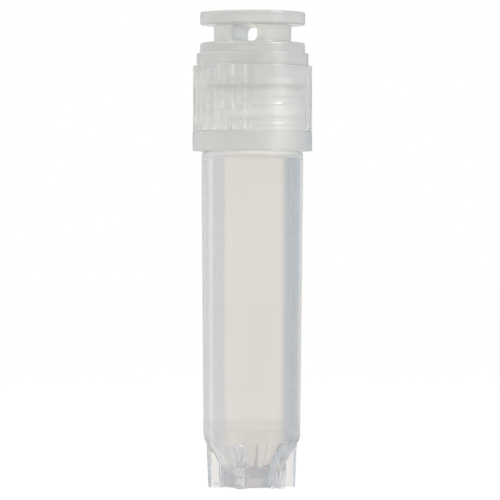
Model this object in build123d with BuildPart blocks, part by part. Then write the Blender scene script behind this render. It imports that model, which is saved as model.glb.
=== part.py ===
from build123d import *
import os
from math import cos, radians, sin, tan

# A two-millilitre cryogenic storage vial with an external-thread screw cap.
# Millimetres. +Z is up, and the origin is the middle of the star foot, on the
# bench. -Y is the front, and a turn is counted from the front in degrees,
# counter-clockwise as seen from above.

# ---- vial: body and neck ---------------------------------------------------
vial_height = 41.75         # bench to rim
neck_height = 6.6           # shoulder to rim
body_radius = 5.32          # at the shoulder, the widest place
body_land = 3.5             # straight under the shoulder, where a rack holds the vial
body_draft = 0.55           # degrees a side below that, narrower towards the foot
body_wall = 1.1             # at the shoulder
bore_draft = 0.25           # degrees a side
neck_wall = 0.65
shoulder_chamfer = 0.3
rim_chamfer = 0.12

# ---- vial: conical bottom, nose and star foot ------------------------------
cone_height = 5.15          # bench to the edge where the body turns into the cone
cone_angle = 31.0           # degrees from the axis
cone_wall = 0.75
cone_round = 1.75
nose_radius = 3.25
nose_lift = 0.06            # the nose stands this far off the bench
floor_wall = 0.85
gate_radius = 1.6           # recess for the gate, under the nose
gate_depth = 0.25

star_ribs = 6
star_reach = 1.38           # each rib stands out this far from the nose, at the bench
star_draft = 1.7            # degrees, wider towards the top
star_thickness = 1.0
star_chamfer = 0.28         # outer corners of each rib
star_turn = -16.0           # first rib

# ---- screw thread, one start, right-handed ---------------------------------
thread_pitch = 2.17
thread_depth = 0.46
thread_flank = 37.0         # degrees from the radial plane
neck_crest = 0.45           # width of the neck thread's crest
cap_crest = 0.3             # width of the cap thread's crest
neck_turns = 1.6
cap_turns = 2.0
neck_thread_start = 1.95    # shoulder to the middle of the thread's start
thread_radial_gap = 0.13    # crest to the wall that it faces
thread_play = 0.15          # between the flanks that pull the cap down
thread_run_out = 24.0       # degrees over which each end sinks into its wall
wall_bite = 0.3             # how far a ridge reaches into its wall

# ---- cap: skirt ------------------------------------------------------------
shoulder_gap = 0.05         # cap's rim above the vial's shoulder
cap_wall = 0.82             # at the plain band round the bottom
band_height = 2.05
skirt_height = 8.95         # cap's rim to the first step
grip_inset = 0.04           # grip ribs, in from the band
panel_inset = 0.14          # the two smooth panels, in from the band
mouth_chamfer = 0.2
skirt_chamfer = 0.1

flute_radius = 0.6
flute_depth = 0.22
flute_pitch = 12.0          # degrees
ribs_per_side = 9
grip_turn = -58.0           # middle of the first ribbed side

# ---- cap: seal seat inside -------------------------------------------------
seal_thickness = 1.0
seal_gap = 0.05             # washer to the vial's rim, and to the cap's ceiling
seal_side_gap = 0.12        # washer to the cap's bore, and to the plug
seal_reach = 0.78           # washer in over the vial's bore
plug_wall = 0.95            # of the boss that centres the washer
stem_floor = 1.2            # between the boss's core and the slot in the stem

# ---- cap: steps, stem and disc on top --------------------------------------
lower_step_inset = 0.41     # in from the band
lower_step_height = 1.28
upper_step_inset = 0.78     # in from the band
upper_step_height = 1.12
upper_step_chamfer = 0.18
stem_radius = 4.06
stem_height = 1.83
slot_width = 2.72
slot_round = 0.62
slot_turn = -13.0           # the way that the slot runs through the stem
disc_radius = 5.51
disc_thickness = 1.37
disc_chamfer = 0.14

# ---- places that follow from the sizes -------------------------------------
front = -90                 # direction of the front, from +X
shoulder_z = vial_height - neck_height
bore_radius = body_radius - body_wall
neck_radius = bore_radius + neck_wall
land_z = shoulder_z - body_land
body_foot_radius = body_radius - (land_z - cone_height) * tan(radians(body_draft))
cone_slope = tan(radians(cone_angle))
nose_top_z = cone_height - (body_foot_radius - nose_radius) / cone_slope
body_way = Vector(sin(radians(body_draft)), cos(radians(body_draft)))
cone_way = Vector(sin(radians(cone_angle)), cos(radians(cone_angle)))
cone_edge = Vector(body_foot_radius, cone_height)
round_reach = cone_round * tan(radians(cone_angle - body_draft) / 2)
star_radius = nose_radius + star_reach

bore_slope = tan(radians(bore_draft))
cone_gap = cone_wall / cos(radians(cone_angle))
bore_tip = nose_radius - nose_top_z * cone_slope - cone_gap
bore_cone_z = (bore_radius - shoulder_z * bore_slope - bore_tip) / (cone_slope - bore_slope)
bore_cone_radius = bore_tip + bore_cone_z * cone_slope
bore_rim_radius = bore_radius + neck_height * bore_slope
dome_z = (bore_tip * cos(radians(cone_angle)) + nose_lift + floor_wall) / (1 - sin(radians(cone_angle)))
dome_radius = dome_z - nose_lift - floor_wall

neck_crest_radius = neck_radius + thread_depth
cap_bore_radius = neck_crest_radius + thread_radial_gap
cap_crest_radius = neck_radius + thread_radial_gap
cap_thread_depth = cap_bore_radius - cap_crest_radius
flank_slope = tan(radians(thread_flank))

cap_radius = cap_bore_radius + cap_wall
grip_radius = cap_radius - grip_inset
panel_radius = cap_radius - panel_inset
lower_step_radius = cap_radius - lower_step_inset
upper_step_radius = cap_radius - upper_step_inset
plug_radius = bore_rim_radius - seal_reach - seal_side_gap
plug_core_radius = plug_radius - plug_wall

cap_z = shoulder_z + shoulder_gap
band_z = cap_z + band_height
skirt_z = cap_z + skirt_height
ceiling_z = vial_height + seal_thickness + 2 * seal_gap
lower_step_z = skirt_z + lower_step_height
upper_step_z = lower_step_z + upper_step_height
plug_core_z = upper_step_z - stem_floor
disc_z = upper_step_z + stem_height
top_z = disc_z + disc_thickness

neck_thread_z = shoulder_z + neck_thread_start
flank_offset = (neck_crest + cap_crest) / 2 + (neck_crest_radius - cap_crest_radius) * flank_slope
cap_thread_z = neck_thread_z - flank_offset - thread_play

flute_centre = grip_radius - flute_depth + flute_radius
panel_arc = 180 - flute_pitch * ribs_per_side


def wall_section(radius, crest_width, depth, outward):
    """Corners of a thread ridge beside a wall, as (radius, height) points about its middle."""
    side = 1 if outward else -1
    foot_half = crest_width / 2 + (depth + wall_bite) * flank_slope
    foot = radius - side * wall_bite
    crest = radius + side * depth
    return [
        (foot, -foot_half),
        (crest, -crest_width / 2),
        (crest, crest_width / 2),
        (foot, foot_half),
    ]


def thread_ridge(radius, start_z, turns, crest_width, depth, outward):
    """One helical ridge on a round wall. Its two ends sink into the wall."""
    rise = thread_pitch * turns
    run_out_rise = thread_pitch * thread_run_out / 360
    full = wall_section(radius, crest_width, depth, outward)
    sunk = wall_section(radius, crest_width, -wall_bite / 2, outward)
    with BuildPart() as ridge:
        with BuildLine():
            path = Helix(thread_pitch, rise, radius, center=(0, 0, start_z))
        with BuildSketch(Plane.XZ):
            with Locations((0, start_z)):
                Polygon(*full, align=None)
        sweep(path=path, is_frenet=True)
        for angle, z, way in ((0, start_z, -1), (360 * turns, start_z + rise, 1)):
            with BuildSketch(Plane.XZ.rotated((0, 0, angle))):
                with Locations((0, z)):
                    Polygon(*full, align=None)
            with BuildSketch(Plane.XZ.rotated((0, 0, angle + way * thread_run_out))):
                with Locations((0, z + way * run_out_rise)):
                    Polygon(*sunk, align=None)
            loft()
    return ridge.part


def corner(profile, radius, z):
    """The corner of a turned profile that lies at this radius and height."""
    return profile.vertices().sort_by_distance((radius, z))[0]


# ---- vial ------------------------------------------------------------------
neck_thread = thread_ridge(
    neck_radius, neck_thread_z, neck_turns, neck_crest, thread_depth, outward=True
)

with BuildPart() as vial_tube:
    # Turned outside: nose, cone, drafted body, shoulder and neck.
    with BuildSketch(Plane.XZ):
        with BuildLine():
            cone_turn = TangentArc(
                cone_edge - cone_way * round_reach,
                cone_edge + body_way * round_reach,
                tangent=cone_way,
            )
            body_side = Bezier(cone_turn @ 1, (body_radius, land_z))
            Polyline(
                body_side @ 1,
                (body_radius, shoulder_z - shoulder_chamfer),
                (body_radius - shoulder_chamfer, shoulder_z),
                (neck_radius, shoulder_z),
                (neck_radius, vial_height - rim_chamfer),
                (neck_radius - rim_chamfer, vial_height),
                (0, vial_height),
                (0, nose_lift + gate_depth),
                (gate_radius, nose_lift + gate_depth),
                (gate_radius, nose_lift),
                (nose_radius, nose_lift),
                (nose_radius, nose_top_z),
                cone_turn @ 0,
            )
        make_face()
    revolve(axis=Axis.Z)

    # Star foot: radial ribs from the nose, running up into the cone.
    with BuildSketch() as star:
        rib_root = nose_radius - star_thickness / 2
        with PolarLocations((rib_root + star_radius) / 2, star_ribs, front + star_turn):
            Rectangle(star_radius - rib_root, star_thickness)
        rib_ends = star.vertices().filter_by(
            lambda end: Vector(end.X, end.Y).length > nose_radius
        )
        chamfer(rib_ends, star_chamfer)
    extrude(amount=cone_height, taper=-star_draft)

    # Bore, inner cone and round bottom. The inner cone runs beside the outer one.
    with BuildSketch(Plane.XZ) as inside:
        with BuildLine():
            floor = CenterArc((0, dome_z), dome_radius, -90, 90 - cone_angle)
            bore_cone = Line(floor @ 1, (bore_cone_radius, bore_cone_z))
            bore_side = Bezier(bore_cone @ 1, (bore_rim_radius, vial_height - rim_chamfer))
            Polyline(
                bore_side @ 1,
                (bore_rim_radius + rim_chamfer, vial_height),
                (0, vial_height),
                floor @ 0,
            )
        make_face()
    revolve(axis=Axis.Z, mode=Mode.SUBTRACT)
    add(neck_thread)

# ---- cap -------------------------------------------------------------------
cap_thread = thread_ridge(
    cap_bore_radius, cap_thread_z, cap_turns, cap_crest, cap_thread_depth, outward=False
)

with BuildPart() as screw_cap:
    # Turned outside: band, skirt, two steps, stem and disc.
    with BuildSketch(Plane.XZ) as profile:
        Polygon(
            (0, cap_z),
            (cap_radius, cap_z),
            (cap_radius, band_z),
            (grip_radius, band_z),
            (grip_radius, skirt_z),
            (lower_step_radius, skirt_z),
            (lower_step_radius, lower_step_z),
            (upper_step_radius, lower_step_z),
            (upper_step_radius, upper_step_z),
            (stem_radius, upper_step_z),
            (stem_radius, disc_z),
            (disc_radius, disc_z),
            (disc_radius, top_z),
            (0, top_z),
            align=None,
        )
        chamfer(corner(profile, cap_radius, cap_z), skirt_chamfer)
        chamfer(corner(profile, grip_radius, skirt_z), skirt_chamfer)
        chamfer(corner(profile, upper_step_radius, upper_step_z), upper_step_chamfer)
        chamfer(corner(profile, disc_radius, disc_z), disc_chamfer)
        chamfer(corner(profile, disc_radius, top_z), disc_chamfer)
    revolve(axis=Axis.Z)

    # Grip: two ribbed sides, each a row of flutes, and two smooth panels between them.
    with BuildSketch(Plane.XY.offset(band_z)):
        for side in (grip_turn, grip_turn + 180):
            first = front + side - flute_pitch * ribs_per_side / 2
            with PolarLocations(
                flute_centre,
                ribs_per_side + 1,
                first,
                flute_pitch * ribs_per_side,
                endpoint=True,
            ):
                Circle(flute_radius)
    extrude(amount=skirt_z - band_z, mode=Mode.SUBTRACT)
    for side in (grip_turn, grip_turn + 180):
        panel_start = side + flute_pitch * ribs_per_side / 2
        with BuildSketch(Plane.XZ.rotated((0, 0, front + panel_start))):
            with Locations(((panel_radius + cap_radius) / 2, (band_z + skirt_z) / 2)):
                Rectangle(cap_radius - panel_radius, skirt_z - band_z)
        revolve(axis=Axis.Z, revolution_arc=panel_arc, mode=Mode.SUBTRACT)

    # Inside: mouth, bore, seat of the washer, its plug and the plug's core.
    with BuildSketch(Plane.XZ) as hollow:
        Polygon(
            (0, cap_z),
            (cap_bore_radius + mouth_chamfer, cap_z),
            (cap_bore_radius, cap_z + mouth_chamfer),
            (cap_bore_radius, ceiling_z),
            (plug_radius, ceiling_z),
            (plug_radius, ceiling_z - seal_thickness),
            (plug_core_radius, ceiling_z - seal_thickness),
            (plug_core_radius, plug_core_z),
            (0, plug_core_z),
            align=None,
        )
    revolve(axis=Axis.Z, mode=Mode.SUBTRACT)

    # Slot straight through the stem, from the upper step to the disc.
    with BuildSketch(Plane.XZ.rotated((0, 0, slot_turn))):
        with Locations((0, (upper_step_z + disc_z) / 2)):
            RectangleRounded(slot_width, stem_height, slot_round)
    extrude(amount=disc_radius, both=True, mode=Mode.SUBTRACT)
    add(cap_thread)

# ---- seal ------------------------------------------------------------------
with BuildPart() as sealing_washer:
    with BuildSketch(Plane.XY.offset(vial_height + seal_gap)):
        Circle(cap_bore_radius - seal_side_gap)
        Circle(plug_radius + seal_side_gap, mode=Mode.SUBTRACT)
    extrude(amount=seal_thickness)

os.makedirs("parts", exist_ok=True)
vial_tube.part.label = "vial_tube"
export_step(vial_tube.part, "parts/vial_tube.step")
screw_cap.part.label = "screw_cap"
export_step(screw_cap.part, "parts/screw_cap.step")
sealing_washer.part.label = "sealing_washer"
export_step(sealing_washer.part, "parts/sealing_washer.step")
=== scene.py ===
"""A two-millilitre cryogenic vial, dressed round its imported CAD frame.

The dataclasses hold millimetres and degrees, and meshes are written in metres.
+Z is up and -Y is the front. A turn is counted in degrees from +X,
counter-clockwise as seen from above.
"""

import logging
import math
from dataclasses import dataclass
from enum import Enum, IntEnum
from typing import Any, Callable, Sequence

import bpy
import numpy as np
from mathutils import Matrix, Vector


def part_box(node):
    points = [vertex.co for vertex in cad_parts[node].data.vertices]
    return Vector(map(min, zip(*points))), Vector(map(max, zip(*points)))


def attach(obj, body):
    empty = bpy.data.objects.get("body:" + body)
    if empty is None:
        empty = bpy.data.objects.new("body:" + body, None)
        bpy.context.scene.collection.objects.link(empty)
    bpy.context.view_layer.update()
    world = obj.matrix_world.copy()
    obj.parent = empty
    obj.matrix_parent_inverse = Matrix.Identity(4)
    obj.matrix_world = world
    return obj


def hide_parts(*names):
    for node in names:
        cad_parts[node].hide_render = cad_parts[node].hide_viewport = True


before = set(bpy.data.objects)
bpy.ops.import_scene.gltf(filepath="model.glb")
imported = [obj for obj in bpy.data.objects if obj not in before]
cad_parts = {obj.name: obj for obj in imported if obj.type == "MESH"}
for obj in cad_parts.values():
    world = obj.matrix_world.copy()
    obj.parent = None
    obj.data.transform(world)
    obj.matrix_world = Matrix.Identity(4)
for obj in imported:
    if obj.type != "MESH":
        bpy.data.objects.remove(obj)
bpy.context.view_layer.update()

MM = 0.001  # metres
NEAR = 0.02  # millimetres within which two radii or heights count as one
CLEAR = 0.1  # millimetres that tell a face from those of the next part
HOLD = 0.025  # millimetres from an arc's end to the point that holds the side flat
Array = np.ndarray
Colour = tuple[float, float, float]
Pair = tuple[float, float]
Point = Sequence[float]
Piece = bpy.types.Object
LOG = logging.getLogger("cryovial")


# ---- shader nodes ----
class Wire:
    """A socket that carries a number, with arithmetic that adds Math nodes."""

    def __init__(self, sheet: "NodeSheet", socket: bpy.types.NodeSocket) -> None:
        """Keeps the socket and its sheet."""
        self.sheet = sheet
        self.socket = socket

    def _math(self, operation: str, *values: Any) -> "Wire":
        """Adds one Math node with its inputs in order."""
        return self.sheet.add("ShaderNodeMath", dict(enumerate(values)), operation=operation)

    def __add__(self, other: Any) -> "Wire":
        """Sum."""
        return self._math("ADD", self, other)

    __radd__ = __add__

    def __sub__(self, other: Any) -> "Wire":
        """Difference."""
        return self._math("SUBTRACT", self, other)

    def __rsub__(self, other: Any) -> "Wire":
        """Difference from a number."""
        return self._math("SUBTRACT", other, self)

    def __mul__(self, other: Any) -> "Wire":
        """Product."""
        return self._math("MULTIPLY", self, other)

    __rmul__ = __mul__

    def larger(self, other: Any) -> "Wire":
        """The larger of the two values."""
        return self._math("MAXIMUM", self, other)

    def beside(self, output: str) -> "Wire":
        """Another output of the node that this one leaves."""
        return Wire(self.sheet, self.socket.node.outputs[output])

    def step(self, low: float, high: float) -> "Wire":
        """A smooth step from 0 at low to 1 at high."""
        inputs = {"Value": self, "From Min": low, "From Max": high}
        return self.sheet.add("ShaderNodeMapRange", inputs, interpolation_type="SMOOTHSTEP")

    def above(self, middle: float, half: float) -> "Wire":
        """A smooth step from 0 to 1, half to each side of middle, in millimetres."""
        return self.step((middle - half) * MM, (middle + half) * MM)

    def past(self, turns: Pair) -> "Wire":
        """A smooth step of an angle in radians, between two turns in degrees."""
        return self.step(math.radians(turns[0]), math.radians(turns[1]))


class NodeSheet:
    """The node tree of one material or world."""

    def __init__(self, tree: bpy.types.NodeTree) -> None:
        """Empties the tree and keeps it."""
        self.tree = tree
        self.tree.nodes.clear()

    def add(self, kind: str, inputs: dict | None = None, output: Any = 0, **settings: Any) -> Wire:
        """Adds one node.

        Args:
            kind: the node's type.
            inputs: its sockets by name or number, as wires, numbers or tuples.
            output: the socket to return, by name or number.
            **settings: its properties, which are set first.

        Returns:
            The chosen output.
        """
        node = self.tree.nodes.new(kind)
        for name, value in settings.items():
            setattr(node, name, value)
        for name, value in (inputs or {}).items():
            if isinstance(value, Wire):
                self.tree.links.new(value.socket, node.inputs[name])
            elif isinstance(value, tuple) and node.inputs[name].type == "RGBA":
                node.inputs[name].default_value = (*value, 1.0)
            else:
                node.inputs[name].default_value = value
        return Wire(self, node.outputs[output] if node.outputs else node.inputs[0])

    def mix(self, factor: Any, first: Any, second: Any) -> Wire:
        """Mixes two colours, the first at factor 0 and the second at 1."""
        inputs = {0: factor, 6: first, 7: second}
        return self.add("ShaderNodeMix", inputs, 2, data_type="RGBA")

    def blend(self, factor: Any, first: Wire, second: Wire) -> Wire:
        """Mixes two shaders, the first at factor 0 and the second at 1."""
        return self.add("ShaderNodeMixShader", {0: factor, 1: first, 2: second})

    def noise(self, place: Wire, scale: float, detail: float = 2.0) -> Wire:
        """Noise from 0 to 1 at a place, with scale in bumps a metre."""
        inputs = {"Vector": place, "Scale": scale, "Detail": detail}
        return self.add("ShaderNodeTexNoise", inputs, "Fac")

    def stretched(self, place: Wire, scale: tuple[float, float, float]) -> Wire:
        """A place with its three coordinates scaled."""
        return self.add("ShaderNodeMapping", {"Vector": place, "Scale": scale})


# ---- finishes ----
def new_material(name: str) -> tuple[bpy.types.Material, NodeSheet]:
    """Makes an empty material.

    Args:
        name: the material's name.

    Returns:
        The material and its sheet of nodes.
    """
    material = bpy.data.materials.new(name)
    material.use_nodes = True
    return material, NodeSheet(material.node_tree)


@dataclass(frozen=True)
class CloudyPlastic:
    """Natural polypropylene, which lets light through and scatters some of it.

    Attributes:
        tint: colour of the light from lamps that passes it.
        cloud: colour of the light that it scatters.
        clearness: share of the light that isn't scattered.
        skin_roughness: roughness outside skin_radius_mm, where it differs.
        grain_depth: height of the fine grain, as a share of the flow marks'.
        relief_mm: height of flow marks and grain at full depth.
        sheen: weight of the soft gloss over the skin.
    """

    name: str
    tint: Colour
    cloud: Colour
    clearness: float
    roughness: float
    skin_roughness: float | None = None
    skin_radius_mm: float = 5.48
    skin_edge_mm: float = 0.01
    ior: float = 1.49
    flow_depth: float = 0.012
    flow_size_mm: float = 4.0
    flow_shape: tuple[float, float, float] = (1.0, 1.0, 0.25)
    flow_shade: float = 0.97
    grain_depth: float = 0.005
    grain_size_mm: float = 0.35
    relief_mm: float = 0.2
    sheen: float = 0.0
    sheen_roughness: float = 0.33

    def material(self) -> bpy.types.Material:
        """Builds the material.

        The plastic is a dielectric with faint flow marks from the mould. A
        diffuse share of its base stands for the light that its crystals
        scatter. Rays from lamps pass it with its tint. Where the mould is
        ground, the surface outside a radius is rougher.

        Returns:
            The material.
        """
        material, sheet = new_material(self.name)
        place = sheet.add("ShaderNodeTexCoord", output="Object")
        drawn_out = sheet.stretched(place, self.flow_shape)
        flow = sheet.noise(drawn_out, 1 / (self.flow_size_mm * MM))
        grain = sheet.noise(place, 1 / (self.grain_size_mm * MM), detail=3.0)
        colour = sheet.mix(flow, self.cloud, tuple(c * self.flow_shade for c in self.cloud))
        height = flow + grain * self.grain_depth
        relief = {"Strength": self.flow_depth, "Distance": self.relief_mm * MM, "Height": height}
        rough: Any = self.roughness
        if self.skin_roughness is not None:
            level = sheet.stretched(place, (1.0, 1.0, 0.0))
            from_axis = sheet.add("ShaderNodeVectorMath", {0: level}, "Value", operation="LENGTH")
            ground = from_axis.above(self.skin_radius_mm, self.skin_edge_mm)
            rough = ground * (self.skin_roughness - self.roughness) + self.roughness
        look = {
            "Base Color": colour,
            "Roughness": rough,
            "IOR": self.ior,
            "Transmission Weight": self.clearness,
            "Coat Weight": self.sheen,
            "Coat Roughness": self.sheen_roughness,
            "Normal": sheet.add("ShaderNodeBump", relief),
        }
        plastic = sheet.add("ShaderNodeBsdfPrincipled", look)
        lamp_ray = sheet.add("ShaderNodeLightPath", output="Is Shadow Ray")
        through = sheet.add("ShaderNodeBsdfTransparent", {"Color": self.tint})
        both = sheet.blend(lamp_ray, plastic, through)
        sheet.add("ShaderNodeOutputMaterial", {"Surface": both})
        return material


Finishes = dict[IntEnum, CloudyPlastic]


@dataclass(frozen=True)
class SealRubber:
    """Clear-white silicone with a satin skin, with a painted contact shadow darkening it low down,
    where the vial's rim presses it.
    """

    name: str = "seal_silicone"
    colour: Colour = (0.92, 0.915, 0.9)
    clearness: float = 0.7
    roughness: float = 0.3
    ior: float = 1.41
    mottle_size_mm: float = 0.8
    mottle_shade: float = 0.95
    mottle_depth: float = 0.08
    relief_mm: float = 0.05
    contact_shadow_height_mm: float = 42.1
    contact_shadow_edge_mm: float = 0.04
    contact_shadow_shade: float = 0.55

    def material(self) -> bpy.types.Material:
        """Builds the material.

        Returns:
            The material.
        """
        material, sheet = new_material(self.name)
        place = sheet.add("ShaderNodeTexCoord", output="Object")
        mottle = sheet.noise(place, 1 / (self.mottle_size_mm * MM), detail=3.0)
        colour = sheet.mix(mottle, self.colour, tuple(c * self.mottle_shade for c in self.colour))
        height = sheet.add("ShaderNodeSeparateXYZ", {0: place}, "Z")
        # Painted contact shadow: below a height just over the washer's bottom, the colour darkens
        # where the rim meets it.
        unshadowed = height.above(self.contact_shadow_height_mm, self.contact_shadow_edge_mm)
        colour = sheet.mix(unshadowed, tuple(c * self.contact_shadow_shade for c in self.colour), colour)
        relief = {"Strength": self.mottle_depth, "Distance": self.relief_mm * MM, "Height": mottle}
        look = {
            "Base Color": colour,
            "Roughness": self.roughness,
            "IOR": self.ior,
            "Transmission Weight": self.clearness,
            "Normal": sheet.add("ShaderNodeBump", relief),
        }
        rubber = sheet.add("ShaderNodeBsdfPrincipled", look)
        sheet.add("ShaderNodeOutputMaterial", {"Surface": rubber})
        return material


# ---- surfaces ----
@dataclass(frozen=True)
class Corner:
    """One corner of a turned profile.

    Attributes:
        radius: distance from the axis.
        height: height above the bench.
        rounding: radius of the arc that replaces the corner.
        spacing: largest distance between points on the run after the corner.
    """

    radius: float
    height: float
    rounding: float = 0.0
    spacing: float = 9.0


def smooth_max(first: Array, second: Array, reach: float) -> Array:
    """The larger value, plus (reach - difference) squared over 4 x reach near a tie."""
    near = np.maximum(reach - np.abs(first - second), 0.0)
    return np.maximum(first, second) + near**2 / (4 * reach)


def turned_profile(corners: Sequence[Corner], arc_steps: int = 5) -> Array:
    """Points along a profile with rounded corners.

    Args:
        corners: the profile's corners in order.
        arc_steps: spans in each arc.

    Returns:
        Rows of (radius, height).
    """
    spots = np.array([(c.radius, c.height) for c in corners])
    points = [spots[:1]]
    for i in range(1, len(corners)):
        if i < len(corners) - 1 and corners[i].rounding > 0:
            turned = rounded_corner(*spots[i - 1 : i + 2], corners[i].rounding, arc_steps)
        else:
            turned = spots[i : i + 1]
        start, end = points[-1][-1], turned[0]
        spans = max(1, math.ceil(np.linalg.norm(end - start) / corners[i - 1].spacing))
        share = np.linspace(0, 1, spans + 1)[1:-1, None]
        points += [start + (end - start) * share, turned]
    return np.vstack(points)


def rounded_corner(before: Array, at: Array, after: Array, rounding: float, steps: int) -> Array:
    """The points that replace one corner of a profile.

    They are an arc that touches both sides of the corner, which starts
    rounding x tan(turn / 2) before it, and one point just outside each end
    of the arc, which holds the side flat.

    Args:
        before: the corner before it.
        at: the corner.
        after: the corner after it.
        rounding: radius of the arc.
        steps: spans in the arc.

    Returns:
        Rows of (radius, height).
    """
    way_in = (at - before) / np.linalg.norm(at - before)
    way_out = (after - at) / np.linalg.norm(after - at)
    turn = math.atan2(way_in[0] * way_out[1] - way_in[1] * way_out[0], way_in @ way_out)
    reach = rounding * math.tan(abs(turn) / 2)
    start = at - way_in * reach
    left = np.array((-way_in[1], way_in[0])) * math.copysign(1.0, turn)
    swing = np.linspace(0, abs(turn), steps + 1)[:, None]
    arc = start + way_in * rounding * np.sin(swing) + left * rounding * (1 - np.cos(swing))
    return np.vstack((start - way_in * HOLD, arc, at + way_out * (reach + HOLD)))


def set_up(name: str, data: bpy.types.ID) -> Piece:
    """Puts a mesh, a camera or a lamp into the scene.

    Args:
        name: the new object's name.
        data: what it holds.

    Returns:
        The object.
    """
    thing = bpy.data.objects.new(name, data)
    bpy.context.scene.collection.objects.link(thing)
    return thing


def smooth_piece(name: str, points: Array, faces: list[list[int]]) -> Piece:
    """Makes a smooth-shaded piece.

    Args:
        name: the piece's name.
        points: its points in millimetres.
        faces: the numbers of each face's points.

    Returns:
        The piece.
    """
    mesh = bpy.data.meshes.new(name)
    mesh.from_pydata((points * MM).tolist(), [], faces)
    mesh.shade_smooth()
    mesh.update()
    return set_up(name, mesh)


def ring_solid(name: str, rings: Array, first: Point, last: Point) -> Piece:
    """A closed surface through a stack of rings, closed by one point at each end.

    Args:
        name: the piece's name.
        rings: points in millimetres, as (ring, place round the ring, axis).
        first: the point that closes the first ring.
        last: the point that closes the last ring.

    Returns:
        The piece, smooth-shaded, with its faces outwards.
    """
    count, around = rings.shape[:2]
    points = np.vstack((rings.reshape(-1, 3), [first], [last]))
    index = np.arange(count * around).reshape(count, around)
    onward = np.roll(index, -1, axis=1)
    quads = np.stack((index[:-1], onward[:-1], onward[1:], index[1:]), axis=-1).reshape(-1, 4)
    start = np.full(around, count * around)
    fan_in = np.stack((start, onward[0], index[0]), axis=-1)
    fan_out = np.stack((start + 1, index[-1], onward[-1]), axis=-1)
    triangles = np.vstack((quads[:, [0, 1, 2]], quads[:, [0, 2, 3]], fan_in, fan_out))
    a, b, c = points[triangles].transpose(1, 0, 2)
    # a . (b x c) over all triangles is six times the volume, below 0 if they face inwards
    if (a * np.cross(b, c)).sum() < 0:
        quads, fan_in, fan_out = quads[:, ::-1], fan_in[:, ::-1], fan_out[:, ::-1]
    return smooth_piece(name, points, quads.tolist() + fan_in.tolist() + fan_out.tolist())


def polar_rings(radius: Array, turn: Array, height: Array) -> Array:
    """Points as (ring, place round the ring, axis) from radii, radians and heights."""
    radius, turn, height = np.broadcast_arrays(radius, turn, height)
    return np.stack((radius * np.cos(turn), radius * np.sin(turn), height), axis=-1)


def dress(piece: Piece, finishes: Finishes, choose: Callable[[Array, Array], Array]) -> None:
    """Gives a piece its finishes, and each face the one of its part.

    Args:
        piece: the piece to dress.
        finishes: the finish of each of its parts.
        choose: tells each face's part from their radii and heights in millimetres.
    """
    for part in sorted(finishes):
        piece.data.materials.append(finishes[part].material())
    centres = np.empty(3 * len(piece.data.polygons))
    piece.data.polygons.foreach_get("center", centres)
    x, y, z = centres.reshape(-1, 3).T / MM
    piece.data.polygons.foreach_set("material_index", choose(np.hypot(x, y), z).astype(np.int32))


class Side(Enum):
    """The side of its wall that a thread stands on, and the way it moves the wall."""

    OUTSIDE = 1
    INSIDE = -1


@dataclass(frozen=True)
class Thread:
    """One helical ridge on a round wall, with rounded edges and sunk ends.

    Attributes:
        start: height of its middle at 0 degrees.
        run_out: degrees over which its ends sink into the wall.
        sunk: how deep under the wall its ends lie.
        softness: reach of the fillets at its foot and crest.
    """

    side: Side
    start: float
    turns: float
    crest: float
    depth: float
    pitch: float = 2.17
    flank: float = 37.0
    run_out: float = 24.0
    sunk: float = 0.15
    softness: float = 0.09

    def ridge(self, turn: Array, height: Array) -> Array:
        """How far the ridge moves its wall away from the axis.

        At each turn the ridge's middle is at start + pitch x turn / 360. Its
        side falls from the crest by one over the tangent of the flank. Near
        its two ends the crest sinks into the wall.

        Args:
            turn: radians from +X.
            height: height above the bench.

        Returns:
            The change of the wall's radius.
        """
        best = np.zeros(np.broadcast(turn, height).shape)
        whole = np.degrees(turn) % 360
        length = 360 * self.turns
        for lap in range(-1, math.ceil(self.turns) + 1):
            along = whole + 360 * lap
            middle = self.start + self.pitch * along / 360
            beyond = np.maximum(np.maximum(-along, along - length), 0.0) / self.run_out
            top = self.depth - (self.depth + self.sunk) * beyond
            side = (np.abs(height - middle) - self.crest / 2) / math.tan(math.radians(self.flank))
            rise = -smooth_max(-np.broadcast_to(top, best.shape), side - top, self.softness)
            best = smooth_max(best, rise, self.softness)
        return self.side.value * best


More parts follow.
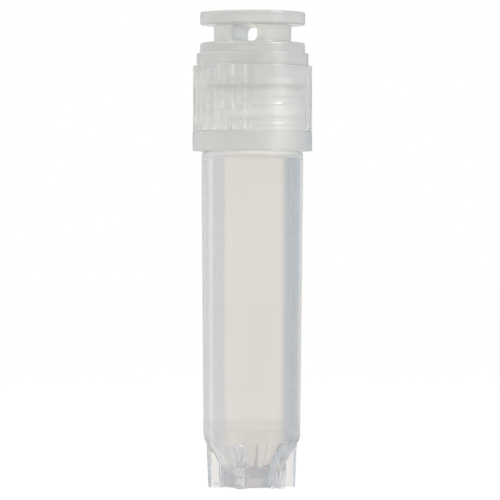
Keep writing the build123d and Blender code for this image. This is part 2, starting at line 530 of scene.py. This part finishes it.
# ---- pieces ----
@dataclass(frozen=True)
class StarFoot:
    """Six radial ribs round the nose.

    Attributes:
        reach: distance from the axis to their ends, at the bench.
        root: distance from a rib's side to the end of its fillet.
        fillet: how far apart rib and wall may be and still blend.
        wall_gap: least distance from wall to rib's end, for the points' turns.
        shares: points between one mark and the next.
    """

    count: int = 6
    reach: float = 4.63
    half_thickness: float = 0.5
    draft: float = 1.7
    turn: float = -106.0
    corner: float = 0.26
    root: float = 0.25
    fillet: float = 0.15
    wall_gap: float = 0.35
    shares: tuple[int, ...] = (4, 4, 5, 4, 6)

    @property
    def first_rib(self) -> float:
        """The first rib's direction in radians from +X."""
        return math.radians(self.turn)

    def off_middle(self, angles: Array) -> Array:
        """How far directions are from the nearest rib's middle, in radians."""
        sector = math.tau / self.count
        return np.abs((angles + sector / 2) % sector - sector / 2)

    def widths(self, height: Array) -> tuple[Array, Array]:
        """Half the thickness and the reach of a rib at each height."""
        grow = np.maximum(height, 0) * math.tan(math.radians(self.draft))
        return self.half_thickness + grow, self.reach + grow

    def angles(self, radius: Array, height: Array) -> Array:
        """Turns of a ring's points, closer together at the ribs' sides.

        The points follow six marks on each half of a rib: its middle, both
        ends of its rounded corner, its root, the end of the root's fillet,
        and the middle of the gap.

        Args:
            radius: radius of the wall that the ribs stand on, one for each ring.
            height: height of each ring.

        Returns:
            Radians from the first rib's middle, as (ring, place).
        """
        half, reach = self.widths(height)
        wall = np.minimum(radius, reach - self.wall_gap)
        marks = np.column_stack((
            np.zeros_like(half),
            np.arctan2(half - self.corner, reach),
            np.arctan2(half, reach - self.corner),
            np.arcsin(half / wall),
            np.arcsin((half + self.root) / wall),
            np.full_like(half, math.pi / self.count),
        ))
        places = np.concatenate([n + np.arange(s) / s for n, s in enumerate(self.shares)])
        low = places.astype(int)
        half_turns = marks[:, low] + (marks[:, low + 1] - marks[:, low]) * (places - low)
        half_turns = np.hstack((half_turns, marks[:, -1:]))
        sector = np.hstack((half_turns, 2 * marks[:, -1:] - half_turns[:, -2:0:-1]))
        steps = math.tau / self.count * np.arange(self.count)
        return (sector[:, None, :] + steps[None, :, None]).reshape(len(half), -1)

    def outline(self, angles: Array, radius: Array, height: Array, inset: Array) -> Array:
        """The section's radius in each direction, the larger of wall and rib.

        A rib's end is flat, at reach over the cosine of the direction. Its
        side is flat too, at the half thickness over the sine. The corner
        between them is an arc.

        Args:
            angles: directions from the first rib's middle.
            radius: radius of the wall, one for each ring.
            height: height of each ring.
            inset: how far each ring is drawn in from the section.

        Returns:
            Radii as (ring, place).
        """
        off = self.off_middle(angles)
        half, reach = (w[:, None] - inset[:, None] for w in self.widths(height))
        end = reach / np.cos(off)
        side = half / np.maximum(np.sin(off), 1e-4)  # never divides by 0
        across, along = half - self.corner, reach - self.corner
        on_ray = along * np.cos(off) + across * np.sin(off)
        inner = self.corner**2 - (along**2 + across**2) + on_ray**2
        arc = on_ray + np.sqrt(np.maximum(inner, 0.0))
        in_corner = (off > np.arctan2(across, reach)) & (off < np.arctan2(half, along))
        rib = np.where(in_corner, arc, np.minimum(end, side))
        return smooth_max(rib, radius[:, None] - inset[:, None], self.fillet)


class VialPart(IntEnum):
    """The vial's parts, each with its own finish."""

    WALL = 0
    NECK = 1
    CONE = 2
    RIB = 3
    NOSE = 4


@dataclass
class VialTube:
    """The vial: neck with thread, body, conical bottom, nose and star foot.

    Attributes:
        body_land: height of the straight part under the shoulder.
        rib_swing: radians over which the nose's underside lifts beside a rib.
        rib_top: height above which the rings' points keep their turns.
        dome_edge: degrees from the axis to the round floor's edge.
    """

    finishes: Finishes
    height: float
    shoulder: float = 35.15
    body_radius: float = 5.32
    body_land: float = 3.5
    foot_radius: float = 5.066
    cone_height: float = 5.15
    cone_finish_top: float = 6.4
    neck_finish_drop: float = 0.42
    nose_top: float = 2.128
    nose_radius: float = 3.25
    nose_lift: float = 0.06
    foot_edge: float = 0.08
    rib_swing: float = 0.05
    rib_top: float = 4.2
    rib_gap: float = 0.2
    thread_gap: float = 0.3
    gate_radius: float = 1.6
    gate_depth: float = 0.25
    neck_radius: float = 4.87
    rim_radius: float = 4.249
    bore_foot_radius: float = 4.088
    bore_foot: float = 4.98
    dome_height: float = 3.814
    dome_radius: float = 2.904
    dome_edge: float = 59.0
    dome_end: float = 4.0
    foot: StarFoot = StarFoot()
    thread: Thread = Thread(Side.OUTSIDE, start=37.10, turns=1.6, crest=0.45, depth=0.46)

    def outside(self) -> Array:
        """The outer profile from the nose's side up to the rim's top.

        Returns:
            Rows of (radius, height).
        """
        corners = (
            Corner(self.nose_radius, self.nose_lift + self.foot_edge, 0, 0.3),
            Corner(self.nose_radius, self.nose_top, 0.25, 0.2),
            Corner(self.foot_radius, self.cone_height, 1.75, 1.5),
            Corner(self.body_radius, self.shoulder - self.body_land, 6.0, 1.5),
            Corner(self.body_radius, self.shoulder, 0.38, 0.2),
            Corner(self.neck_radius, self.shoulder, 0.1, 0.055),
            Corner(self.neck_radius, self.height, 0.15, 0.2),
            Corner(self.rim_radius, self.height, 0.12, 0.8),
            Corner(self.bore_foot_radius, self.bore_foot, 0.8, 0.3),
            Corner(*self.floor()[0]),
        )
        return turned_profile(corners, arc_steps=6)

    def floor(self) -> Array:
        """The round floor inside, from the cone to near the axis, as an arc.

        Returns:
            Rows of (radius, height).
        """
        turn = np.radians(np.linspace(self.dome_edge, self.dome_end, 15))
        arc = (self.dome_radius * np.sin(turn), self.dome_height - self.dome_radius * np.cos(turn))
        return np.stack(arc, axis=-1)

    def foot_rings(self) -> Array:
        """Rings of the underside: gate recess, nose, and the ribs' rounded edge.

        Returns:
            Points as (ring, place, axis).
        """
        lift, edge = self.nose_lift, self.foot_edge
        corners = (
            Corner(self.gate_radius / 4, lift + self.gate_depth),
            Corner(self.gate_radius, lift + self.gate_depth, edge),
            Corner(self.gate_radius, lift, edge),
            Corner(self.nose_radius - 2.5 * edge, lift),
        )
        gate = turned_profile(corners, arc_steps=3)
        turns = self.foot.angles(np.full(1, self.nose_radius), np.zeros(1))
        around = turns + self.foot.first_rib
        nose = polar_rings(gate[:, :1], around, gate[:, 1:])
        root = math.asin(self.foot.half_thickness / self.nose_radius)
        under = lift * np.clip((self.foot.off_middle(turns) - root) / self.rib_swing, 0, 1)
        inner = np.full((1, 1), self.nose_radius - 1.5 * edge)
        swing = np.linspace(0, math.pi / 2, 5)
        inset = edge * (1 - np.sin(swing))
        drop = edge * (1 - np.cos(swing))
        wall = np.full(len(swing), self.nose_radius)
        outline = self.foot.outline(np.repeat(turns, len(swing), 0), wall, 0 * swing, inset)
        ribs = polar_rings(outline, around, under + drop[:, None])
        return np.vstack((nose, polar_rings(inner, around, under), ribs))

    def wall_rings(self) -> Array:
        """Rings of the walls outside and inside, with the ribs and the thread.

        Returns:
            Points as (ring, place, axis).
        """
        profile = self.outside()
        radius, height = profile.T
        turns = self.foot.angles(radius, np.minimum(height, self.rib_top))
        outer = np.arange(len(profile)) < np.argmax(height)
        low = outer & (height < self.cone_height - self.rib_gap)
        reach = self.foot.outline(turns, radius, np.maximum(height, 0), np.zeros(len(radius)))
        wall = np.where(low[:, None], reach, radius[:, None])
        neck = outer & (radius > self.neck_radius - NEAR)
        threaded = neck & (height > self.shoulder + self.thread_gap)
        ridge = self.thread.ridge(turns + self.foot.first_rib, height[:, None])
        wall = wall + np.where(threaded[:, None], ridge, 0.0)
        return polar_rings(wall, turns + self.foot.first_rib, height[:, None])

    def part_of(self, radius: Array, height: Array) -> Array:
        """The part that each place belongs to.

        A rib is what stands more than a little outside the cone's slope.

        Args:
            radius: distances from the axis.
            height: heights above the bench.

        Returns:
            The number of each place's part.
        """
        slope = (self.foot_radius - self.nose_radius) / (self.cone_height - self.nose_top)
        cone = self.nose_radius + np.maximum(height - self.nose_top, 0) * slope
        rib = (height < self.cone_height) & (radius > cone + 3 * NEAR)
        nose = (radius < self.nose_radius + NEAR) & (height < self.nose_top)
        part = np.where(height < self.cone_finish_top, VialPart.CONE, VialPart.WALL)
        part = np.where(height > self.shoulder - self.neck_finish_drop, VialPart.NECK, part)
        return np.where(nose, VialPart.NOSE, np.where(rib, VialPart.RIB, part))

    def build(self) -> Piece:
        """Makes the vial, dresses it and puts it in its CAD node's place.

        Returns:
            The piece.
        """
        floor = self.floor()[1:]
        turns = self.foot.angles(np.full(1, self.nose_radius), np.zeros(1)) + self.foot.first_rib
        inside = polar_rings(floor[:, :1], turns, floor[:, 1:])
        rings = np.vstack((self.foot_rings(), self.wall_rings(), inside))
        below = (0, 0, self.nose_lift + self.gate_depth)
        above = (0, 0, self.dome_height - self.dome_radius)
        piece = ring_solid("vial_body", rings, below, above)
        dress(piece, self.finishes, self.part_of)
        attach(piece, "vial")
        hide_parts("vial_tube")
        return piece


@dataclass(frozen=True)
class Grip:
    """The cap's two fluted sides and the smooth panels between them.

    Attributes:
        panel_edge: degrees over which one radius changes to the other.
        marks: degrees from a flute's middle to the points on each side of it.
        softness: reach of the fillet along a flute's edges.
    """

    radius: float = 6.24
    panel_radius: float = 6.14
    panel_edge: float = 0.6
    flute_radius: float = 0.6
    flute_depth: float = 0.22
    pitch: float = 12.0
    flutes: int = 10
    middle: float = -148.0
    marks: tuple[float, ...] = (1.2, 2.3, 3.3, 3.9, 4.3, 4.8)
    panel_spans: int = 21
    softness: float = 0.05

    def turns(self) -> Array:
        """Turns of a ring's points, closer together at the flutes' edges.

        Returns:
            Radians from +X, increasing.
        """
        marks = np.array(self.marks)
        across = np.concatenate(([-self.pitch / 2], -marks[::-1], [0.0], marks))
        rows = (np.arange(self.flutes) - (self.flutes - 1) / 2) * self.pitch
        side = (rows[:, None] + across).ravel()
        edge = self.pitch * self.flutes / 2
        panel = np.linspace(edge, 180 - edge, self.panel_spans, endpoint=False)
        half = np.concatenate((side, panel)) + self.middle
        return np.radians(np.concatenate((half, half + 180)))

    def radius_at(self, turn: Array, cut: Array) -> Array:
        """The skirt's radius in each direction.

        A flute is part of a circle round a point outside the skirt. Where a
        ray meets it, the radius is centre x cos(off) minus the root of the
        circle's radius squared less (centre x sin(off)) squared.

        Args:
            turn: radians from +X, one for each place.
            cut: how much of their depth the flutes have, one for each ring.

        Returns:
            Radii as (ring, place).
        """
        off = (np.degrees(turn) - self.middle + 90) % 180 - 90
        span = self.pitch * (self.flutes - 1) / 2
        blend = np.clip((np.abs(off) - span) / self.panel_edge + 0.5, 0, 1)
        base = self.radius + (self.panel_radius - self.radius) * blend
        row = np.clip(np.round(off / self.pitch - 0.5) + 0.5, -span / self.pitch, span / self.pitch)
        from_flute = np.radians(off - row * self.pitch)
        centre = self.radius - self.flute_depth * cut[:, None] + self.flute_radius
        inner = self.flute_radius**2 - (centre * np.sin(from_flute)) ** 2
        flute = centre * np.cos(from_flute) - np.sqrt(np.maximum(inner, 0.0))
        flute = np.where(inner > 0, flute, self.radius + self.flute_radius)
        return -smooth_max(-np.broadcast_to(base, flute.shape), -flute, self.softness)


class CapPart(IntEnum):
    """The cap's parts, each with its own finish."""

    WALL = 0
    CROWN = 1
    BAND = 2
    TOP = 3
    STEM = 4


@dataclass
class ScrewCap:
    """The cap: skirt with grips and band, steps, slotted stem, disc and thread.

    Attributes:
        flute_top: height over the band where the flutes start to run out.
        flute_run: how high that run is.
        groove: half the height of the groove over the band.
        lower_step: radius and height, as of upper_step.
        sharp_from: degrees between two faces that keep their edge sharp.
    """

    finishes: Finishes
    bottom: float
    top: float
    band_radius: float = 6.28
    band_top: float = 37.25
    skirt_top: float = 44.15
    flute_top: float = 0.62
    flute_run: float = 0.6
    groove: float = 0.05
    lower_step: Pair = (5.87, 45.43)
    upper_step: Pair = (5.50, 46.55)
    stem_radius: float = 4.06
    disc_radius: float = 5.51
    disc_bottom: float = 48.38
    bore_radius: float = 5.46
    lead_in: float = 0.2
    thread_gap: float = 0.25
    ceiling: float = 42.85
    plug_radius: float = 3.349
    plug_bottom: float = 41.85
    core_radius: float = 2.399
    core_top: float = 45.35
    slot_width: float = 2.72
    slot_round: float = 0.62
    slot_turn: float = -13.0
    sharp_from: float = 50.0
    grip: Grip = Grip()
    thread: Thread = Thread(Side.INSIDE, start=36.326, turns=2.0, crest=0.3, depth=0.46)

    def profile(self) -> Array:
        """The whole profile, from the disc's top round to the core's top.

        Returns:
            Rows of (radius, height).
        """
        grip, band_top = self.grip.radius, self.band_top
        disc, bore = self.disc_radius, self.bore_radius
        (lower, lower_top), (upper, upper_top) = self.lower_step, self.upper_step
        corners = (
            Corner(1.0, self.top, 0, 1.5),
            Corner(disc, self.top, 0.16, 0.5),
            Corner(disc, self.disc_bottom, 0.22, 0.7),
            Corner(self.stem_radius, self.disc_bottom, 0.14, 0.5),
            Corner(self.stem_radius, upper_top, 0.14, 0.7),
            Corner(upper, upper_top, 0.24, 0.5),
            Corner(upper, lower_top, 0.05, 0.3),
            Corner(lower, lower_top, 0.1, 0.5),
            Corner(lower, self.skirt_top, 0.05, 0.3),
            Corner(grip, self.skirt_top, 0.12, 0.6),
            Corner(grip, band_top + self.flute_top, 0, 0.05),
            Corner(grip, band_top + self.groove),
            Corner(grip - 2 * self.groove, band_top),
            Corner(self.band_radius, band_top - self.groove, 0, 0.5),
            Corner(self.band_radius, self.bottom, 0.14, 0.3),
            Corner(bore + self.lead_in, self.bottom, 0.05, 0.1),
            Corner(bore, self.bottom + self.lead_in, 0.05, 0.07),
            Corner(bore, self.ceiling, 0.15, 0.7),
            Corner(self.plug_radius, self.ceiling, 0.08, 0.4),
            Corner(self.plug_radius, self.plug_bottom, 0.12, 0.4),
            Corner(self.core_radius, self.plug_bottom, 0.12, 0.8),
            Corner(self.core_radius, self.core_top, 0.3, 0.8),
            Corner(0.6, self.core_top),
        )
        return turned_profile(corners)

    def rings(self) -> Array:
        """Rings of the whole cap without its slot.

        The flutes' lower ends are round: over their last run their depth
        falls as the root of one less the distance squared.

        Returns:
            Points as (ring, place, axis).
        """
        profile = self.profile()
        radius, height = profile.T
        turn = self.grip.turns()
        outer = np.arange(len(profile)) < np.argmin(height)
        skirt = outer & (height < self.skirt_top) & (height > self.band_top + NEAR / 2)
        near_end = np.clip((self.band_top + self.flute_top - height) / self.flute_run, 0, 1)
        cut = np.sqrt(np.maximum(1 - near_end**2, 0.0))
        gripped = self.grip.radius_at(turn, cut) - self.grip.radius
        wall = radius[:, None] + np.where(skirt[:, None], gripped, 0.0)
        bore = ~outer & (radius > self.bore_radius - NEAR)
        inside = bore & (height > self.bottom + self.thread_gap)
        ridge = self.thread.ridge(turn, height[:, None])
        wall = wall + np.where(inside[:, None], ridge, 0.0)
        return polar_rings(wall, turn, height[:, None])

    def slot_cutter(self) -> Piece:
        """The solid that the slot takes away: a bar with rounded edges.

        Its section is a rectangle with quarter circles for corners, carried
        straight along the slot's direction.

        Returns:
            The cutter.
        """
        low, high = self.upper_step[1], self.disc_bottom
        middle = (low + high) / 2
        swing = np.radians(np.arange(0, 91, 15))
        quarter = np.stack((np.cos(swing), np.sin(swing)), axis=-1) * self.slot_round
        quarter += np.array((self.slot_width / 2, (high - low) / 2)) - self.slot_round
        mirrored = quarter[::-1]
        section = np.vstack((quarter, mirrored * (-1, 1), quarter * (-1, -1), mirrored * (1, -1)))
        across, height = section[:, 0], section[:, 1] + middle
        reach = np.array((-self.disc_radius, 0.0, self.disc_radius))[:, None]
        turn = math.radians(self.slot_turn)
        x = across * math.cos(turn) - reach * math.sin(turn)
        y = across * math.sin(turn) + reach * math.cos(turn)
        rings = np.stack(np.broadcast_arrays(x, y, height), axis=-1)
        ends = [(*rings[end].mean(0)[:2], middle) for end in (0, -1)]
        return ring_solid("slot_cutter", rings, *ends)

    def part_of(self, radius: Array, height: Array) -> Array:
        """The part that each place belongs to.

        Args:
            radius: distances from the axis.
            height: heights above the bench.

        Returns:
            The number of each place's part.
        """
        above_step = height > self.upper_step[1] + NEAR / 2
        under_disc = height < self.disc_bottom - NEAR / 2
        stem = above_step & under_disc & (radius < self.stem_radius + CLEAR)
        skirt = (radius > self.lower_step[0] + CLEAR) & (height < self.skirt_top - CLEAR)
        band = (height < self.band_top) & (radius > self.bore_radius + CLEAR)
        over = np.where(skirt, CapPart.CROWN, CapPart.TOP)
        part = np.where(height > self.ceiling - NEAR, over, CapPart.WALL)
        return np.where(stem, CapPart.STEM, np.where(band, CapPart.BAND, part))

    def build(self) -> Piece:
        """Makes the cap, cuts its slot, dresses it and puts it in its node's place.

        Returns:
            The piece.
        """
        piece = ring_solid("cap_body", self.rings(), (0, 0, self.top), (0, 0, self.core_top))
        cutter = self.slot_cutter()
        cut = piece.modifiers.new("slot", "BOOLEAN")
        cut.operation, cut.solver, cut.object = "DIFFERENCE", "EXACT", cutter
        graph = bpy.context.evaluated_depsgraph_get()
        slotted = bpy.data.meshes.new_from_object(piece.evaluated_get(graph))
        piece.modifiers.clear()
        piece.data = slotted
        bpy.data.objects.remove(cutter)
        piece.data.materials.clear()
        dress(piece, self.finishes, self.part_of)
        piece.data.set_sharp_from_angle(angle=math.radians(self.sharp_from))
        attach(piece, "cap")
        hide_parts("screw_cap")
        return piece


@dataclass
class SealingWasher:
    """The flat washer that the cap presses on the vial's rim."""

    finish: SealRubber
    bottom: float
    top: float
    outer_radius: float
    inner_radius: float = 3.469
    rounding: float = 0.12
    spacing: float = 0.4
    around: int = 180

    def build(self) -> Piece:
        """Makes the washer as a rounded rectangle turned round the axis.

        Returns:
            The piece.
        """
        inner, outer = self.inner_radius, self.outer_radius
        spots = ((inner, self.bottom), (outer, self.bottom), (outer, self.top), (inner, self.top))
        corners = [Corner(*spot, self.rounding, self.spacing) for spot in spots]
        middle = Corner(inner, (self.bottom + self.top) / 2)
        profile = turned_profile((middle, *corners, middle))[:-1]
        turn = np.linspace(0, math.tau, self.around, endpoint=False)
        rings = polar_rings(profile[:, :1], turn, profile[:, 1:])
        index = np.arange(rings[..., 0].size).reshape(-1, self.around)
        onward = np.roll(index, -1, axis=1)
        edge = np.stack((index, onward), axis=-1)
        quads = np.dstack((edge, np.roll(edge, -1, axis=0)[..., ::-1])).reshape(-1, 4)
        piece = smooth_piece("washer", rings.reshape(-1, 3), quads.tolist())
        piece.data.materials.append(self.finish.material())
        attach(piece, "seal")
        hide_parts("sealing_washer")
        return piece


# ---- studio ----
@dataclass(frozen=True)
class Lamp:
    """A soft square lamp that points at the vial, in metres and watts.

    Its turn is degrees to the right of the front, and its rise degrees up.
    """

    name: str
    turn: float
    rise: float
    size: float
    power: float
    distance: float = 0.45
    aim: float = 0.025

    def build(self) -> None:
        """Adds the lamp."""
        data = bpy.data.lights.new(self.name, "AREA")
        data.size, data.energy = self.size, self.power
        lamp = set_up(self.name, data)
        turn, rise = math.radians(self.turn), math.radians(self.rise)
        level = math.cos(rise)
        back = np.array((math.sin(turn) * level, -math.cos(turn) * level, math.sin(rise)))
        lamp.location = back * self.distance + np.array((0, 0, self.aim))
        lamp.rotation_euler = (math.pi / 2 - rise, 0, turn)


@dataclass
class Studio:
    """Camera, white surroundings, pale floor and soft lamps, in metres.

    The plastic bends what stands round it: a warm white card behind the vial,
    cooler grey beside it, and a white window at the left. An edge between two
    of them is a pair of turns in degrees, from the back to one side.
    """

    camera_distance: float = 0.475
    camera_height: float = 0.02484
    axis_offset: float = 0.00023
    view_width: float = 0.0524109
    sensor_width: float = 0.036
    roll: float = -0.12
    card: Colour = (0.831, 0.803, 0.762)
    left: Colour = (0.596, 0.635, 0.69)
    far_left: Colour = (0.785, 0.79, 0.79)
    right: Colour = (0.45, 0.507, 0.56)
    far_right: Colour = (0.42, 0.465, 0.505)
    window: Colour = (1.0, 1.0, 0.985)
    front: Colour = (0.6, 0.612, 0.615)
    card_right: Pair = (8.0, 18.0)
    card_left: Pair = (6.8, 11.0)
    left_end: Pair = (30.0, 46.0)
    right_end: Pair = (50.0, 70.0)
    window_start: Pair = (70.0, 84.0)
    window_end: Pair = (114.0, 128.0)
    front_start: Pair = (115.0, 175.0)
    floor_half: float = 3.0
    floor_sink: float = 0.00002
    floor_paint: Colour = (0.9, 0.9, 0.9)
    floor_white: float = 1.03
    floor_show: float = 0.92
    bounces: int = 32
    glossy_bounces: int = 16
    lamps: tuple[Lamp, ...] = (
        Lamp("lamp_right", turn=56, rise=20, size=0.18, power=0.73),
        Lamp("lamp_high", turn=56, rise=36, size=0.09, power=0.4),
        Lamp("lamp_left", turn=-65, rise=30, size=0.3, power=0.58),
    )

    def build_camera(self) -> None:
        """Puts a long lens level in front of the vial."""
        data = bpy.data.cameras.new("camera")
        data.sensor_width = self.sensor_width / MM
        data.lens = data.sensor_width * self.camera_distance / self.view_width
        data.clip_start, data.clip_end = 0.01, 10.0
        camera = set_up("camera", data)
        camera.location = (-self.axis_offset, -self.camera_distance, self.camera_height)
        camera.rotation_euler = (math.pi / 2, math.radians(self.roll), 0)
        bpy.context.scene.camera = camera

    def surroundings(self, sheet: NodeSheet, place: Wire) -> Wire:
        """The colour that the plastic shows behind it, by its direction.

        Args:
            sheet: the sheet to add to.
            place: a place or direction seen from the vial.

        Returns:
            The colour.
        """
        x = sheet.add("ShaderNodeSeparateXYZ", {0: place}, "X")
        to_right = sheet.add("ShaderNodeMath", {0: x, 1: x.beside("Y")}, operation="ARCTAN2")
        to_left = to_right * -1.0
        to_front = to_right.larger(to_left).past(self.front_start)
        at_window = to_left.past(self.window_start) - to_left.past(self.window_end)
        far_right = sheet.mix(to_front, self.far_right, self.front)
        far_left = sheet.mix(to_front, self.far_left, self.front)
        far_left = sheet.mix(at_window, far_left, self.window)
        right = sheet.mix(to_right.past(self.right_end), self.right, far_right)
        left = sheet.mix(to_left.past(self.left_end), self.left, far_left)
        colour = sheet.mix(to_right.past(self.card_right), self.card, right)
        return sheet.mix(to_left.past(self.card_left), colour, left)

    def build_world(self) -> None:
        """White for the camera, and the card and greys for what the vial bends."""
        world = bpy.data.worlds.new("studio")
        bpy.context.scene.world = world
        world.use_nodes = True
        sheet = NodeSheet(world.node_tree)
        direction = sheet.add("ShaderNodeTexCoord", output="Generated")
        colour = self.surroundings(sheet, direction)
        seen = sheet.add("ShaderNodeLightPath", output="Is Camera Ray")
        shade = sheet.mix(seen, colour, (1.0, 1.0, 1.0))
        light = sheet.add("ShaderNodeBackground", {"Color": shade})
        sheet.add("ShaderNodeOutputWorld", {"Surface": light})

    def build_floor(self) -> None:
        """A wide pale floor. It looks white, and keeps a little of the shadow."""
        mesh = bpy.data.meshes.new("floor")
        low, high = -self.floor_half, self.floor_half
        corners = [(low, low), (high, low), (high, high), (low, high)]
        mesh.from_pydata([(x, y, -self.floor_sink) for x, y in corners], [], [(0, 1, 2, 3)])
        floor = set_up("floor", mesh)
        material, sheet = new_material("pale_floor")
        place = sheet.add("ShaderNodeTexCoord", output="Object")
        camera = sheet.add("ShaderNodeLightPath", output="Is Camera Ray")
        seen = camera.larger(camera.beside("Is Glossy Ray"))
        seen = seen.larger(camera.beside("Is Transmission Ray"))
        colour = sheet.mix(camera, self.surroundings(sheet, place), (self.floor_white,) * 3)
        shine = sheet.add("ShaderNodeEmission", {"Color": colour})
        matt = sheet.add("ShaderNodeBsdfDiffuse", {"Color": self.floor_paint})
        both = sheet.blend(seen * self.floor_show, matt, shine)
        sheet.add("ShaderNodeOutputMaterial", {"Surface": both})
        mesh.materials.append(material)

    def build(self) -> None:
        """Makes the whole studio."""
        bpy.context.scene.view_settings.view_transform = "Standard"
        cycles = bpy.context.scene.cycles
        cycles.max_bounces = cycles.transmission_bounces = self.bounces
        cycles.transparent_max_bounces = self.bounces
        cycles.glossy_bounces = self.glossy_bounces
        self.build_camera()
        self.build_world()
        self.build_floor()
        for lamp in self.lamps:
            lamp.build()


# Each has its name, tint, cloud, clearness and roughness, then what is its own.
VIAL_FINISHES: Finishes = {
    VialPart.WALL: CloudyPlastic(
        "vial_polypropylene", (0.93, 0.92, 0.9), (0.94, 0.925, 0.91), 0.96, 0.03
    ),
    VialPart.NECK: CloudyPlastic(
        "vial_polypropylene_neck", (0.93, 0.92, 0.9), (0.88, 0.87, 0.86), 0.68, 0.14
    ),
    VialPart.CONE: CloudyPlastic(
        "vial_polypropylene_cone", (0.93, 0.92, 0.9), (0.865, 0.85, 0.835), 0.92, 0.08
    ),
    VialPart.RIB: CloudyPlastic(
        "vial_polypropylene_rib", (0.95, 0.94, 0.93), (1.0, 1.0, 1.0), 0.98, 0.04
    ),
    # The nose's darker, greyer cloud is painted shade: it stands in for the shade under the foot
    # that shows through the nose.
    VialPart.NOSE: CloudyPlastic(
        "vial_polypropylene_nose_painted_shade", (0.8, 0.79, 0.78), (0.67, 0.65, 0.66), 0.76, 0.17
    ),
}
CAP_FINISHES: Finishes = {
    CapPart.WALL: CloudyPlastic(
        "cap_polypropylene", (0.9, 0.9, 0.88), (0.885, 0.875, 0.852), 0.74, 0.06,
        skin_roughness=0.13, sheen=1.0,
    ),
    CapPart.CROWN: CloudyPlastic(
        "cap_polypropylene_crown", (0.85, 0.85, 0.83), (0.85, 0.838, 0.815), 0.72, 0.06,
        skin_roughness=0.14, sheen=1.0,
    ),
    CapPart.BAND: CloudyPlastic(
        "cap_polypropylene_band", (0.88, 0.88, 0.86), (0.755, 0.745, 0.738), 0.72, 0.14,
        sheen=1.0,
    ),
    CapPart.TOP: CloudyPlastic(
        "cap_polypropylene_thick", (0.8, 0.8, 0.78), (0.725, 0.712, 0.682), 0.6, 0.1,
        skin_roughness=0.16, skin_radius_mm=3.8, sheen=1.0,
    ),
    CapPart.STEM: CloudyPlastic(
        "cap_polypropylene_stem", (0.85, 0.85, 0.83), (0.88, 0.865, 0.82), 0.7, 0.05,
        sheen=0.6,
    ),
}


def main() -> None:
    """Builds the vial, its seal and its cap, then the studio."""
    logging.basicConfig(level=logging.INFO)
    vial_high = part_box("vial_tube")[1]
    cap_low, cap_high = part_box("screw_cap")
    seal_low, seal_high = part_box("sealing_washer")
    pieces = (
        VialTube(VIAL_FINISHES, height=vial_high.z / MM),
        SealingWasher(SealRubber(), seal_low.z / MM, seal_high.z / MM, seal_high.x / MM),
        ScrewCap(CAP_FINISHES, bottom=cap_low.z / MM, top=cap_high.z / MM),
    )
    for piece in pieces:
        made = piece.build()
        LOG.info("%s: %d faces", made.name, len(made.data.polygons))
    Studio().build()


if __name__ == "__main__":
    main()
